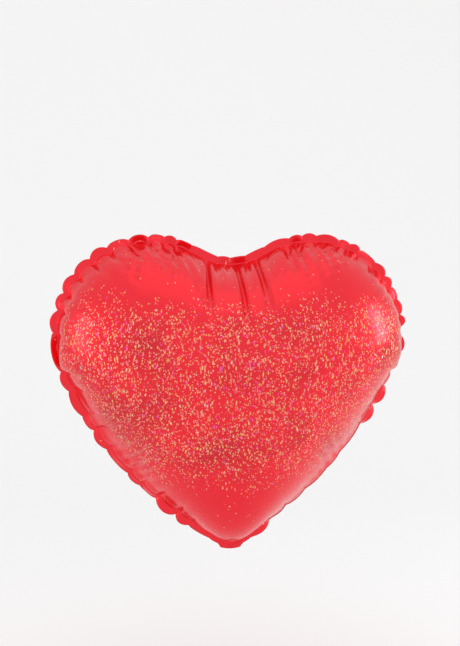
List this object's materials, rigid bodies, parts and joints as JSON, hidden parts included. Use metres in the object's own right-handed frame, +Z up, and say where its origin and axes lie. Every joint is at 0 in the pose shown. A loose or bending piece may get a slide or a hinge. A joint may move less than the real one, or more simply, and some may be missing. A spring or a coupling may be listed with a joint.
{
  "type": "heart foil balloon",
  "caption": "Inflated heart-shaped foil balloon with a puckered heat-sealed edge, a fold-away filling tail and a self-sealing film valve.",
  "frame": {"origin": "the fold line where the filling tail leaves the bottom tip of the heart, where a ribbon or stick is tied", "axes": "+Z up through the cleft, +X across the width to the heart's left lobe as seen from behind, front film towards -Y"},
  "size_m": [0.389, 0.1988, 0.3468],
  "materials": {
    "holographic_foil": "satin metallised film with a fine holographic glitter",
    "plain_foil": "satin metallised film",
    "seal_bond": "melted sealant between two metallised films",
    "valve_film": "clear soft film",
    "release_print": "heat-proof printed ink"
  },
  "bodies": {
    "heart": {"front_foil": "holographic_foil", "rear_foil": "holographic_foil", "perimeter_seam": "seal_bond", "valve_front_film": "valve_film", "valve_rear_film": "valve_film", "valve_edge_welds": "valve_film", "valve_release_print": "release_print"},
    "front_valve_lip": {"valve_front_lip": "valve_film"},
    "rear_valve_lip": {"valve_rear_lip": "valve_film"},
    "tail": {"tail_front_foil": "plain_foil", "tail_rear_foil": "plain_foil", "tail_edge_seams": "seal_bond", "valve_tail_front_film": "valve_film", "valve_tail_rear_film": "valve_film", "valve_tail_edge_welds": "valve_film"},
    "front_mouth_lip": {"mouth_front_lip": "plain_foil"},
    "rear_mouth_lip": {"mouth_rear_lip": "plain_foil"}
  },
  "joints": [
    {"name": "tail_fold", "type": "hinge", "parent": "heart", "child": "tail", "pos_m": [0, 0, 0], "axis": [-1, 0, 0], "range_deg": [0, 244]},
    {"name": "mouth_front_open", "type": "hinge", "parent": "tail", "child": "front_mouth_lip", "pos_m": [0, 0.03936, 0.02382], "axis": [-1, 0, 0], "range_deg": [0, 45]},
    {"name": "mouth_rear_open", "type": "hinge", "parent": "tail", "child": "rear_mouth_lip", "pos_m": [0, 0.03867, 0.02493], "axis": [1, 0, 0], "range_deg": [0, 45]},
    {"name": "valve_front_open", "type": "hinge", "parent": "heart", "child": "front_valve_lip", "pos_m": [0, -0.00028, 0.0936], "axis": [1, 0, 0], "range_deg": [0, 15]},
    {"name": "valve_rear_open", "type": "hinge", "parent": "heart", "child": "rear_valve_lip", "pos_m": [0, 0.00028, 0.0936], "axis": [-1, 0, 0], "range_deg": [0, 15]}
  ]
}
